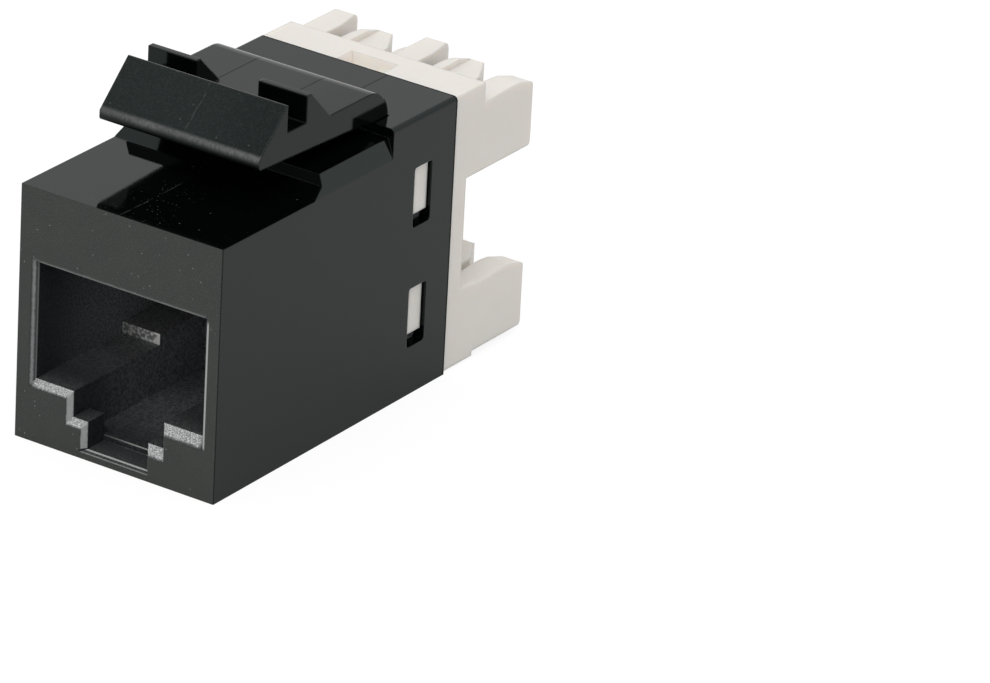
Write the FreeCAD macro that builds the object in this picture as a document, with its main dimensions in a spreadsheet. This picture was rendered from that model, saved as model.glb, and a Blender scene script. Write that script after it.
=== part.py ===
import FreeCAD, Part
import Sketcher
import math
import os

# Keystone jack: a moulded housing with a sprung panel latch, eight contact wires on an insert,
# a circuit board, and a white block with two rows of wire slots and their cutting blades.
# X runs across the front face, Y from the front face to the rear, Z up; millimetres.
# The origin lies on the front face, at the middle of its lower edge.

os.makedirs("parts", exist_ok=True)
doc = FreeCAD.newDocument("keystone_jack")
sheet = doc.addObject("Spreadsheet::Sheet", "Sizes")
nodes = []


class Size:
    """A length that knows its value and the spreadsheet expression it comes from."""

    def __init__(self, value, text):
        self.value = value
        self.text = text

    def join(self, other, sign, value):
        return Size(value, "(" + self.text + " " + sign + " " + as_size(other).text + ")")

    def __add__(self, other):
        return self.join(other, "+", self.value + as_size(other).value)

    def __sub__(self, other):
        return self.join(other, "-", self.value - as_size(other).value)

    def __mul__(self, other):
        return self.join(other, "*", self.value * as_size(other).value)

    def __truediv__(self, other):
        return self.join(other, "/", self.value / as_size(other).value)

    def __neg__(self):
        return Size(-self.value, "(-1 * " + self.text + ")")


def as_size(number):
    return number if isinstance(number, Size) else Size(float(number), repr(float(number)))


row_count = 0


def size(alias, value, meaning):
    """Writes one driving dimension into the spreadsheet."""
    global row_count
    row_count = row_count + 1
    row = str(row_count)
    sheet.set("A" + row, meaning)
    sheet.set("B" + row, str(value))
    sheet.setAlias("B" + row, alias)
    return Size(float(value), "Sizes." + alias)


# Housing, outside
jack_width = size("jack_width", 14.6, "width of the housing")
front_height = size("front_height", 16.3, "height of the front platform")
rear_rise = size("rear_rise", 2.0, "top of the platform to the top of the rear")
rear_height = front_height + rear_rise
housing_length = size("housing_length", 23.6, "front face to the rear rim")
platform_length = size("platform_length", 9.05, "front face to the foot of the step")
step_run = size("step_run", 0.95, "length of the sloping part of the step")
step_rise = size("step_rise", 0.6, "height of the sloping part of the step")
ledge_rise = size("ledge_rise", 1.35, "top of the platform to the ledge behind the step")
ledge_height = front_height + ledge_rise
ear_place = size("ear_place", 17.0, "front face to the shoulder of the rear")
ledge_lean = size("ledge_lean", 0.4, "how far each side of the ledge leans in")
edge_round = size("edge_round", 0.3, "rounding of the rear's upper long edges")
front_round = size("front_round", 0.06, "rounding of the upright front edges")

# Plug opening
mouth_width = size("mouth_width", 12.16, "width of the plug opening")
mouth_floor = size("mouth_floor", 3.95, "height of the plug opening's ledges")
mouth_top = size("mouth_top", 11.45, "height of the plug opening's upper edge")
key_width = size("key_width", 6.6, "width of the upper latch slot")
key_floor = size("key_floor", 2.28, "height of the upper latch slot's floor")
tongue_width = size("tongue_width", 4.4, "width of the lower latch slot")
tongue_floor = size("tongue_floor", 0.52, "height of the lower latch slot's floor")
mouth_flare = size("mouth_flare", 0.3, "width of the bevel at the opening's sides and top")
ledge_flare = size("ledge_flare", 0.47, "height of the bevel at the opening's left ledges")
ledge_skew = size("ledge_skew", 0.25, "how much higher the bevel at the right ledges is")
tongue_flare = size("tongue_flare", 0.12, "height of the bevel at the lower latch slot's floor")
mouth_bevel = size("mouth_bevel", 0.4, "depth of the bevel round the opening")
stop_place = size("stop_place", 8.85, "front face to the stops for the plug's nose")
stop_rise = size("stop_rise", 0.72, "height of the stops above the opening's ledges")
catch_wall = size("catch_wall", 2.0, "thickness of the wall that the plug's latch hooks behind")
well_floor = size("well_floor", 0.85, "height of the floor behind that wall")
well_length = size("well_length", 13.5, "front face to the end of the latch well")
bay_length = size("bay_length", 14.6, "front face to the end of the plug bay")

# Housing, inside
lip_wall = size("lip_wall", 1.4, "thickness of the wall above the opening")
rear_wall = size("rear_wall", 1.15, "thickness of the side walls of the rear bay")
rear_floor = size("rear_floor", 1.3, "thickness of the rear bay's floor")
roof_wall = size("roof_wall", 1.6, "thickness of the rear bay's ceiling")
rear_roof = rear_height - roof_wall
window_setback = size("window_setback", 4.2, "side windows to the rear rim")
window_front = housing_length - window_setback
window_length = size("window_length", 1.8, "length of a side window")
window_height = size("window_height", 3.9, "height of a side window")
window_low = size("window_low", 3.2, "height of the lower window's sill")
window_drop = size("window_drop", 1.7, "rear bay's ceiling to the top of the upper window")
window_high = rear_roof - window_drop - window_height
window_round = size("window_round", 0.2, "corner radius of a window")
panel_gap = size("panel_gap", 1.9, "gap that grips the panel's edge")
panel_place = size("panel_place", 8.15, "front face to the gap that grips the panel")
notch_depth = size("notch_depth", 1.1, "depth of the lower panel notches")
notch_inner = size("notch_inner", 3.9, "middle plane to the inner end of a notch")
notch_outer = size("notch_outer", 5.9, "middle plane to the outer end of a notch")

# Latch
latch_width = size("latch_width", 11.56, "width of the latch")
latch_front = size("latch_front", 5.4, "front face to the nose of the latch")
nose_lift = size("nose_lift", 0.7, "top of the rear to the latch's underside at its nose")
waist_lift = size("waist_lift", 0.2, "top of the rear to the latch's underside at its root")
nose_thick = size("nose_thick", 0.65, "height of the latch's nose below its ramp")
latch_rise = size("latch_rise", 3.97, "top of the rear to the ramp's upper edge and the fins")
groove_rise = size("groove_rise", 2.25, "top of the rear to the floor of the panel gap")
plate_rise = size("plate_rise", 1.97, "top of the rear to the plate behind the fins")
latch_under = rear_height + nose_lift
latch_waist = rear_height + waist_lift
ramp_foot = latch_under + nose_thick
latch_top = rear_height + latch_rise
groove_floor = rear_height + groove_rise
plate_top = rear_height + plate_rise
ramp_crest = size("ramp_crest", 0.1, "length of the flat at the ramp's upper edge")
fin_crest = size("fin_crest", 0.45, "length of the flat at a fin's upper edge")
fin_gap = size("fin_gap", 4.5, "gap between the two fins")
fin_foot = size("fin_foot", 0.6, "how deep the fins' foot reaches below the panel gap's floor")
hinge_lead = size("hinge_lead", 0.5, "latch's bending axis to the shoulder of the rear")
hinge_place = ear_place - hinge_lead
root_drop = size("root_drop", 0.4, "how deep the latch's root sits below the rear's top")
root_front = size("root_front", 0.55, "bending axis to the front of the sunken root")
root_clear = size("root_clear", 0.1, "clearance round the latch's root")
nose_round = size("nose_round", 0.25, "rounding of the latch's nose")

# Contacts and their insert
fit_clear = size("fit_clear", 0.05, "clearance between fitted pieces")
insert_front = size("insert_front", 2.6, "front face to the insert's tongue")
insert_rise = size("insert_rise", 0.32, "top of the plug opening to the tongue's underside")
insert_thick = size("insert_thick", 2.1, "thickness of the tongue")
insert_width = size("insert_width", 9.7, "width of the tongue")
insert_gap = size("insert_gap", 0.3, "insert's wide part to the block's snap arms")
insert_under = mouth_top + insert_rise
insert_top = insert_under + insert_thick
pillow_width = size("pillow_width", 10.0, "width of the part that backs the board")
pillow_floor = size("pillow_floor", 4.1, "height of that part's underside")
pillow_drop = size("pillow_drop", 1.7, "rear bay's ceiling to that part's upper side")
pillow_top = rear_roof - pillow_drop
contact_pitch = size("contact_pitch", 1.02, "spacing of the contact wires")
wire_width = size("wire_width", 0.45, "width of a contact wire")
wire_thick = size("wire_thick", 0.35, "thickness of a contact wire")
wire_inset = size("wire_inset", 0.25, "tongue's underside to the wires' middle")
wire_stagger = size("wire_stagger", 1.65, "how much higher every other wire meets the board")
wire_lead = size("wire_lead", 0.35, "wall above the opening to the wires' front bend")
wire_drop = size("wire_drop", 1.1, "wires' upper run to the elbow below the front bend")
wire_fall = size("wire_fall", 3.37, "elbow to the wires' lowest bend")
wire_low_place = size("wire_low_place", 7.9, "front face to the wires' lowest bend")
wire_tip_place = size("wire_tip_place", 9.6, "front face to the wires' free tips")
wire_tip_rise = size("wire_tip_rise", 0.35, "wires' lowest bend to their free tips")
wire_bend = size("wire_bend", 0.55, "bend radius of the wires")
wire_height = insert_under + wire_inset
wire_high_row = wire_height + wire_stagger
wire_front = lip_wall + wire_lead
wire_elbow = wire_height - wire_drop
wire_low_height = wire_elbow - wire_fall
wire_tip_height = wire_low_height + wire_tip_rise
jog_length = size("jog_length", 1.5, "length of the raised wires' jog")
jog_lead = size("jog_lead", 2.0, "end of the plug bay to the foot of the jog")
jog_front = bay_length + jog_lead

# Circuit board
board_setback = size("board_setback", 2.2, "front of the circuit board to the rear rim")
board_thick = size("board_thick", 1.6, "thickness of the circuit board")
board_clear = size("board_clear", 0.15, "clearance round the board and its notches")
wire_hole = size("wire_hole", 0.33, "radius of a hole for a contact wire")
pin_hole = size("pin_hole", 0.4, "radius of a hole for a blade's pin")
board_place = housing_length - board_setback
board_rear = board_place + board_thick

# White block
block_inset = size("block_inset", 0.1, "how far the block's sides stand inside the housing's")
block_bottom = size("block_bottom", 0.15, "height of the block's underside")
block_sink = size("block_sink", 0.1, "how far the block's top lies below the housing's")
block_top = rear_height - block_sink
plate_thick = size("plate_thick", 1.5, "thickness of the plate between the rows")
shelf_length = size("shelf_length", 3.1, "length of the solid foot of the rows behind the rim")
tower_length = size("tower_length", 8.3, "housing rim to the tips of the teeth")
tower_height = size("tower_height", 4.55, "height of a row of teeth")
tip_drop = size("tip_drop", 0.4, "how much lower the teeth end than their middle")
saddle_drop = size("saddle_drop", 0.1, "how deep the hollow before the teeth is")
crest_length = size("crest_length", 1.5, "length of the teeth's level crest")
tip_length = size("tip_length", 1.5, "length of the slope to the teeth's tips")
saddle_place = size("saddle_place", 3.8, "housing rim to the hollow before the teeth")
root_rise = size("root_rise", 0.2, "how much the rows rise where they meet the plate")
row_lift = size("row_lift", 0.3, "underside of the foot to the underside of the lower row")
row_drop = size("row_drop", 1.2, "top of the foot to the crest of the upper row")
low_row = block_bottom + row_lift
high_row = block_top - row_drop - tower_height
tip_round = size("tip_round", 0.3, "rounding of the teeth's tips")
slot_pitch = size("slot_pitch", 3.4, "spacing of the wire slots")
slot_width = size("slot_width", 0.7, "width of a wire slot")
slot_mouth = size("slot_mouth", 1.5, "width of a slot's mouth")
slot_floor = size("slot_floor", 3.4, "housing rim to the floor of a wire slot")
slot_neck = size("slot_neck", 6.1, "housing rim to where a slot starts to widen")
guide_rise = size("guide_rise", 0.55, "how much higher the teeth left of the odd slots are")
guide_round = size("guide_round", 0.6, "rounding of those teeth's upper tips")
splitter_rise = size("splitter_rise", 0.25, "how much higher the pointed teeth are")
splitter_lead = size("splitter_lead", 0.95, "middle of an odd slot to the tip of a pointed tooth")
splitter_tip = size("splitter_tip", 0.95, "width of a pointed tooth's tip")
tooth_ledge = size("tooth_ledge", 0.35, "depth of the ledge on a pointed tooth")
tooth_ledge_width = size("tooth_ledge_width", 2.0, "width of the ledge on a pointed tooth")
spigot_depth = housing_length - board_rear - fit_clear
snap_thick = size("snap_thick", 0.7, "thickness of a snap arm")
snap_lead = size("snap_lead", 0.2, "how far a snap arm reaches past its window")
snap_reach = size("snap_reach", 0.97, "how far a snap hook stands out")
snap_face = size("snap_face", 1.3, "length of the level end of a snap hook")
snap_sill = size("snap_sill", 0.75, "window's sill to the underside of its hook")
snap_roof = size("snap_roof", 0.1, "upper side of a hook to the top of its window")
snap_rear = size("snap_rear", 0.12, "gap between a hook and its window's rear edge")
snap_front = window_front - snap_lead
insert_back = snap_front - insert_gap
gate_width = size("gate_width", 3.4, "width of the hollow on the block's top")
gate_length = size("gate_length", 1.8, "length of that hollow")
gate_depth = size("gate_depth", 0.9, "depth of that hollow")

# Blades
blade_thick = size("blade_thick", 0.4, "thickness of a blade")
blade_width = size("blade_width", 2.0, "width of a blade's fork")
blade_shank = size("blade_shank", 1.4, "width of a blade's shank")
blade_slit = size("blade_slit", 0.28, "width of the slit in a blade")
blade_fork = size("blade_fork", 3.7, "housing rim to the foot of a blade's fork")
blade_slit_foot = size("blade_slit_foot", 4.5, "housing rim to the foot of the slit")
blade_tip = size("blade_tip", 7.3, "housing rim to a blade's tips")
blade_lead = size("blade_lead", 0.5, "length of the lead-in at the slit's mouth")
pin_width = size("pin_width", 0.5, "width of a blade's pin")
pin_stand = size("pin_stand", 0.3, "how far a pin stands out of the board")
low_blade_lift = size("low_blade_lift", 1.9, "underside of the lower row to its blades")
high_blade_drop = size("high_blade_drop", 1.15, "crest of the upper row to its blades")
low_blade = low_row + low_blade_lift
high_blade = high_row + tower_height - high_blade_drop

doc.recompute()

CONTACTS = 8
SLOTS = 4
PLANES = {"side": "YZ_Plane", "front": "XZ_Plane", "plan": "XY_Plane"}
AXES = {"across": "X_Axis"}

half_width = jack_width / 2
rear_half = half_width - rear_wall
block_half = half_width - block_inset
rim = housing_length


def new_body(name):
    """Starts a sub-part: a body whose label names its file."""
    body = doc.addObject("PartDesign::Body", name)
    body.Label = name
    body.Placement = FreeCAD.Placement()
    nodes.append(body)
    return body


def origin_feature(body, role):
    return next(feature for feature in body.Origin.OriginFeatures if feature.Role == role)


def new_sketch(body, plane, name, away=0.0):
    """Starts a sketch on one of the body's own origin planes, or parallel to it."""
    sketch = body.newObject("Sketcher::SketchObject", name)
    sketch.AttachmentSupport = [(origin_feature(body, PLANES[plane]), "")]
    sketch.MapMode = "FlatFace"
    sketch.setExpression("AttachmentOffset.Base.z", as_size(away).text)
    return sketch


def hold(sketch, item, end, place):
    """Ties a point of the sketch to the two sizes of its place."""
    for kind, coordinate in (("DistanceX", place[0]), ("DistanceY", place[1])):
        number = sketch.addConstraint(Sketcher.Constraint(kind, -1, 1, item, end, as_size(coordinate).value))
        sketch.setExpression("Constraints[" + str(number) + "]", as_size(coordinate).text)


def draw(sketch, corners, closed=True):
    """Draws straight runs from corner to corner; a third value rounds its corner."""
    spots = [FreeCAD.Vector(as_size(corner[0]).value, as_size(corner[1]).value, 0) for corner in corners]
    count = len(spots)
    starts = list(spots)
    ends = list(spots)
    bends = {}
    for i, corner in enumerate(corners):
        if len(corner) < 3:
            continue
        radius = as_size(corner[2]).value
        before = (spots[i] - spots[i - 1]).normalize()
        after = (spots[(i + 1) % count] - spots[i]).normalize()
        turn = before.getAngle(after)
        side = 1 if before.cross(after).z > 0 else -1
        reach = radius * math.tan(turn / 2)
        ends[i] = spots[i] - before * reach
        starts[i] = spots[i] + after * reach
        centre = ends[i] + FreeCAD.Vector(-before.y, before.x, 0) * (side * radius)
        bends[i] = (centre, radius, side)
    runs = []
    for i in range(count if closed else count - 1):
        line = Part.LineSegment(starts[i], ends[(i + 1) % count])
        runs.append(sketch.addGeometry(line, False))
    for i, corner in enumerate(corners):
        run_in = runs[i - 1] if closed or i > 0 else None
        run_out = runs[i] if i < len(runs) else None
        if i not in bends:
            if run_in is not None and run_out is not None:
                sketch.addConstraint(Sketcher.Constraint("Coincident", run_in, 2, run_out, 1))
            if run_out is not None:
                hold(sketch, run_out, 1, corner)
            else:
                hold(sketch, run_in, 2, corner)
            continue
        centre, radius, side = bends[i]
        first, last = (ends[i], starts[i]) if side > 0 else (starts[i], ends[i])
        begin = math.atan2(first.y - centre.y, first.x - centre.x)
        finish = math.atan2(last.y - centre.y, last.x - centre.x)
        circle = Part.Circle(centre, FreeCAD.Vector(0, 0, 1), radius)
        arc = sketch.addGeometry(Part.ArcOfCircle(circle, begin, finish), False)
        arc_in, arc_out = (1, 2) if side > 0 else (2, 1)
        sketch.addConstraint(Sketcher.Constraint("Tangent", run_in, 2, arc, arc_in))
        sketch.addConstraint(Sketcher.Constraint("Tangent", arc, arc_out, run_out, 1))
        number = sketch.addConstraint(Sketcher.Constraint("Radius", arc, radius))
        sketch.setExpression("Constraints[" + str(number) + "]", as_size(corner[2]).text)
        point = sketch.addGeometry(Part.Point(spots[i]), True)
        sketch.addConstraint(Sketcher.Constraint("PointOnObject", point, 1, run_in))
        sketch.addConstraint(Sketcher.Constraint("PointOnObject", point, 1, run_out))
        hold(sketch, point, 1, corner)


def box_corners(left, right, low, high, radius=None):
    corners = [(left, low), (right, low), (right, high), (left, high)]
    return corners if radius is None else [corner + (radius,) for corner in corners]


def circle(sketch, place, radius):
    """Draws a hole's circle, tied to its place and radius."""
    middle = FreeCAD.Vector(as_size(place[0]).value, as_size(place[1]).value, 0)
    ring = sketch.addGeometry(Part.Circle(middle, FreeCAD.Vector(0, 0, 1), as_size(radius).value), False)
    number = sketch.addConstraint(Sketcher.Constraint("Radius", ring, as_size(radius).value))
    sketch.setExpression("Constraints[" + str(number) + "]", as_size(radius).text)
    hold(sketch, ring, 3, place)


def extrude(body, kind, sketch, length, name, reverse=False, middle=False):
    """Adds a pad or a pocket of the sketch."""
    feature = body.newObject("PartDesign::" + kind, name)
    feature.Profile = sketch
    feature.Type = 0
    if middle:
        feature.Midplane = True
    feature.Reversed = reverse
    feature.setExpression("Length", as_size(length).text)
    sketch.Visibility = False
    doc.recompute()
    return feature


def pad(body, plane, outlines, length, name, away=0.0, reverse=False, middle=False):
    sketch = new_sketch(body, plane, name + "_outline", away)
    for corners in outlines:
        draw(sketch, corners)
    return extrude(body, "Pad", sketch, length, name, reverse, middle)


def pocket(body, plane, outlines, length, name, away=0.0, reverse=False, middle=False):
    before = body.Shape.Volume
    sketch = new_sketch(body, plane, name + "_outline", away)
    for corners in outlines:
        draw(sketch, corners)
    feature = extrude(body, "Pocket", sketch, length, name, reverse, middle)
    if body.Shape.Volume >= before:
        raise RuntimeError(name + " cuts nothing")
    return feature


def row_across(body, features, pitch, copies, name):
    """Repeats features across the jack."""
    pattern = body.newObject("PartDesign::LinearPattern", name)
    pattern.Originals = features
    pattern.Direction = (origin_feature(body, AXES["across"]), [""])
    pattern.Occurrences = copies
    pattern.setExpression("Length", (pitch * (copies - 1)).text)
    body.Tip = pattern
    doc.recompute()
    return pattern


def mirrored(body, features, name):
    """Repeats features on the other side of the middle plane."""
    mirror = body.newObject("PartDesign::Mirrored", name)
    mirror.Originals = features
    mirror.MirrorPlane = (origin_feature(body, PLANES["side"]), [""])
    body.Tip = mirror
    doc.recompute()
    return mirror


def soften(body, kind, amount, test, name):
    """Rounds or bevels the edges that the test picks."""
    chosen = ["Edge" + str(i + 1) for i, edge in enumerate(body.Shape.Edges) if test(edge)]
    if not chosen:
        raise RuntimeError(name + " finds no edge")
    feature = body.newObject("PartDesign::" + kind, name)
    feature.Base = (body.Tip if body.Tip is not feature else body.Group[-2], chosen)
    feature.setExpression("Radius" if kind == "Fillet" else "Size", amount.text)
    doc.recompute()
    return feature


def near(number, wanted):
    return abs(number - as_size(wanted).value) < 0.01


def edge_along(edge, axis):
    """True for a straight edge parallel to X, Y or Z (0, 1 or 2)."""
    if not isinstance(edge.Curve, Part.Line):
        return False
    return abs(abs(edge.tangentAt(edge.FirstParameter)[axis]) - 1) < 0.001


def mouth_outline(flare, rise, skew, foot):
    """The stepped plug opening, spread by the bevel's width and by its heights at the floors."""
    half = mouth_width / 2 + flare
    key = key_width / 2 + flare
    tongue = tongue_width / 2 + flare
    top = mouth_top + flare
    sides = []
    for fall in (rise + skew, rise):
        ledge = mouth_floor - fall
        step = key_floor - fall
        sides.append([(tongue, tongue_floor - foot), (tongue, step), (key, step), (key, ledge),
                      (half, ledge), (half, top)])
    right, left = sides
    return right + [(-x, z) for x, z in reversed(left)]


def make_housing():
    """The black moulding: platform, step, ledge, rear block and the plug bay."""
    body = new_body("housing")
    side = [
        (0.0, 0.0),
        (rim, 0.0),
        (rim, rear_height),
        (ear_place, rear_height),
        (ear_place, ledge_height),
        (platform_length + step_run, ledge_height),
        (platform_length + step_run, front_height + step_rise),
        (platform_length, front_height),
        (0.0, front_height),
    ]
    pad(body, "side", [side], jack_width, "block", middle=True)
    lean_foot = front_height + fit_clear
    lean = [(half_width, lean_foot), (half_width, ledge_height), (half_width - ledge_lean, ledge_height)]
    other = [(-x, z) for x, z in lean]
    pocket(body, "front", [lean, other], ear_place - platform_length, "ledge_sides", away=-platform_length)

    def long_edge(edge):
        side_edge = edge_along(edge, 1) and near(abs(edge.CenterOfMass.x), half_width)
        return side_edge and near(edge.CenterOfMass.z, rear_height)

    def front_edge(edge):
        return edge_along(edge, 2) and near(edge.CenterOfMass.y, 0.0)

    soften(body, "Fillet", edge_round, long_edge, "long_edges")
    soften(body, "Fillet", front_round, front_edge, "front_edges")

    outer = new_sketch(body, "front", "mouth_outer")
    draw(outer, mouth_outline(mouth_flare, ledge_flare, ledge_skew, tongue_flare))
    inner = new_sketch(body, "front", "mouth_inner", -mouth_bevel)
    throat = mouth_outline(0.0, as_size(0.0), 0.0, 0.0)
    draw(inner, throat)
    bevel = body.newObject("PartDesign::SubtractiveLoft", "mouth_bevel")
    bevel.Profile = outer
    bevel.Sections = [inner]
    bevel.Ruled = True
    doc.recompute()

    mouth_half = mouth_width / 2
    pocket(body, "front", [throat], catch_wall, "mouth")
    bay = box_corners(-mouth_half, mouth_half, mouth_floor, mouth_top)
    pocket(body, "front", [bay], stop_place, "plug_bay")
    stop_top = mouth_floor + stop_rise
    nose_bay = box_corners(-mouth_half, mouth_half, stop_top, mouth_top)
    pocket(body, "front", [nose_bay], bay_length - stop_place, "nose_bay", away=-stop_place)
    key_half = key_width / 2
    well = box_corners(-key_half, key_half, well_floor, stop_top + fit_clear)
    pocket(body, "front", [well], well_length - catch_wall, "latch_well", away=-catch_wall)
    chamber_half = insert_width / 2 + fit_clear
    chamber = box_corners(-chamber_half, chamber_half, mouth_top - fit_clear, insert_top + fit_clear)
    pocket(body, "front", [chamber], bay_length - lip_wall, "contact_chamber", away=-lip_wall)
    rear_bay = box_corners(-rear_half, rear_half, rear_floor, rear_roof)
    pocket(body, "front", [rear_bay], rim - bay_length, "rear_bay", away=-bay_length)

    window_rear = window_front + window_length
    windows = [box_corners(window_front, window_rear, sill, sill + window_height, window_round)
               for sill in (window_low, window_high)]
    pocket(body, "side", windows, jack_width * 2, "side_windows", middle=True)
    notches = [box_corners(notch_inner, notch_outer, -fit_clear, notch_depth),
               box_corners(-notch_outer, -notch_inner, -fit_clear, notch_depth)]
    pocket(body, "front", notches, panel_gap, "panel_notches", away=-panel_place)
    root_radius = plate_top - rear_height
    seat = box_corners(ear_place - fit_clear, hinge_place + root_radius + root_clear,
                       rear_height - root_drop - root_clear, rear_height + fit_clear)
    pocket(body, "side", [seat], latch_width + root_clear * 2, "latch_seat", middle=True)
    return body


def make_latch():
    """The sprung latch: nose, ramp, panel gap, two fins, plate and round root."""
    body = new_body("latch_arm")
    root_radius = plate_top - rear_height
    root_rear = hinge_place + root_radius
    gap_rear = panel_place + panel_gap
    side = [
        (latch_front, ramp_foot),
        (latch_front, latch_under, nose_round),
        (hinge_place - root_front, latch_waist),
        (hinge_place + root_front, rear_height - root_drop),
        (root_rear, rear_height - root_drop),
        (root_rear, plate_top, root_radius),
        (gap_rear, plate_top),
        (gap_rear, groove_floor),
        (panel_place, groove_floor),
        (panel_place, latch_top),
        (panel_place - ramp_crest, latch_top),
    ]
    pad(body, "side", [side], latch_width, "arm", middle=True)
    fin_rise = latch_top - plate_top
    fin = [
        (gap_rear, groove_floor - fin_foot),
        (gap_rear, latch_top),
        (gap_rear + fin_crest, latch_top),
        (gap_rear + fin_crest + fin_rise, plate_top),
        (gap_rear + fin_crest + fin_rise, groove_floor - fin_foot),
    ]
    pad(body, "side", [fin], latch_width, "fins", middle=True)
    gap_half = fin_gap / 2
    gap = box_corners(-gap_half, gap_half, plate_top, latch_top + fit_clear)
    pocket(body, "front", [gap], fin_crest + fin_rise + fit_clear, "fin_gap_cut", away=-gap_rear)
    return body


def make_insert():
    """The insert that carries the contact wires and closes the plug bay."""
    body = new_body("contact_insert")
    tongue_half = insert_width / 2
    wide = rear_half - fit_clear
    tongue = box_corners(-tongue_half, tongue_half, insert_under, insert_top)
    pad(body, "front", [tongue], bay_length + fit_clear - insert_front, "tongue",
        away=-insert_front, reverse=True)
    wall = box_corners(-wide, wide, rear_floor + fit_clear, rear_roof - fit_clear)
    pad(body, "front", [wall], insert_back - bay_length - fit_clear, "wall",
        away=-(bay_length + fit_clear), reverse=True)
    pillow_half = pillow_width / 2
    pillow = box_corners(-pillow_half, pillow_half, pillow_floor, pillow_top)
    pad(body, "front", [pillow], board_place - fit_clear - insert_back, "pillow",
        away=-insert_back, reverse=True)
    slot_half = wire_width / 2 + fit_clear
    slot_rise = wire_thick / 2 + fit_clear
    first = -(contact_pitch * ((CONTACTS - 1) / 2))
    groove = box_corners(first - slot_half, first + slot_half,
                         insert_under - fit_clear, wire_height + slot_rise)
    grooves = pocket(body, "front", [groove], bay_length + fit_clear - insert_front, "groove",
                     away=-insert_front)
    comb = box_corners(first - slot_half, first + slot_half, wire_height - slot_rise, rear_roof)
    combs = pocket(body, "front", [comb], board_place - bay_length, "comb", away=-(bay_length - fit_clear))
    row_across(body, [grooves, combs], contact_pitch, CONTACTS, "grooves")
    return body


def make_wire(number):
    """One contact wire: board, upper run, front bend, slope, low bend and free tip."""
    body = new_body("contact_wire_" + str(number))
    raised = number % 2 == 0
    board_height = wire_high_row if raised else wire_height
    route = [(board_rear, board_height)]
    if raised:
        route.append((jog_front + jog_length, wire_high_row, wire_bend))
        route.append((jog_front, wire_height, wire_bend))
    route.append((wire_front, wire_height, wire_bend))
    route.append((wire_front, wire_elbow, wire_bend))
    route.append((wire_low_place, wire_low_height, wire_bend))
    route.append((wire_tip_place, wire_tip_height))
    path = new_sketch(body, "side", "route_" + str(number))
    draw(path, route, closed=False)
    section = new_sketch(body, "front", "section_" + str(number), -board_rear)
    half_thick = wire_thick / 2
    draw(section, box_corners(-(wire_width / 2), wire_width / 2,
                              board_height - half_thick, board_height + half_thick))
    doc.recompute()
    pipe = body.newObject("PartDesign::AdditivePipe", "wire_" + str(number))
    pipe.Profile = section
    pipe.Spine = path
    doc.recompute()
    across = contact_pitch * (number - (CONTACTS + 1) / 2)
    body.setExpression("Placement.Base.x", across.text)
    return body


def slot_place(number):
    """The middle of a wire slot across the jack, counted from the left."""
    return slot_pitch * (number - (SLOTS + 1) / 2)


def snap_band(sill):
    """The lowest and highest point of the hook in a window."""
    return sill + snap_sill, sill + window_height - snap_roof


def make_board():
    """The circuit board between the insert and the block, notched for the snap arms."""
    body = new_body("circuit_board")
    half = rear_half - board_clear
    notch = rear_half - snap_thick - board_clear
    right = [(half, rear_floor + board_clear)]
    for sill in (window_low, window_high):
        under, over = snap_band(sill)
        right.append((half, under - board_clear))
        right.append((notch, under - board_clear))
        right.append((notch, over + board_clear))
        right.append((half, over + board_clear))
    right.append((half, rear_roof - board_clear))
    left = [(-x, z) for x, z in reversed(right)]
    pad(body, "front", [right + left], board_thick, "board", away=-board_place, reverse=True)
    holes = new_sketch(body, "front", "hole_places", -board_place)
    for number in range(1, CONTACTS + 1):
        height = wire_high_row if number % 2 == 0 else wire_height
        circle(holes, (contact_pitch * (number - (CONTACTS + 1) / 2), height), wire_hole)
    for number in range(1, SLOTS + 1):
        for height in (low_blade, high_blade):
            circle(holes, (slot_place(number), height), pin_hole)
    extrude(body, "Pocket", holes, board_thick, "holes")
    return body


def row_profile(base):
    """The upper side of a row of teeth, from the tips forward to the plate."""
    tip = rim + tower_length
    crest = base + tower_height
    return [
        (tip, base, tip_round),
        (tip, crest - tip_drop, tip_round),
        (tip - tip_length, crest, tip_length / 2),
        (tip - tip_length - crest_length, crest, tip_length / 2),
        (rim + saddle_place, crest - saddle_drop, tip_length / 2),
    ]


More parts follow.
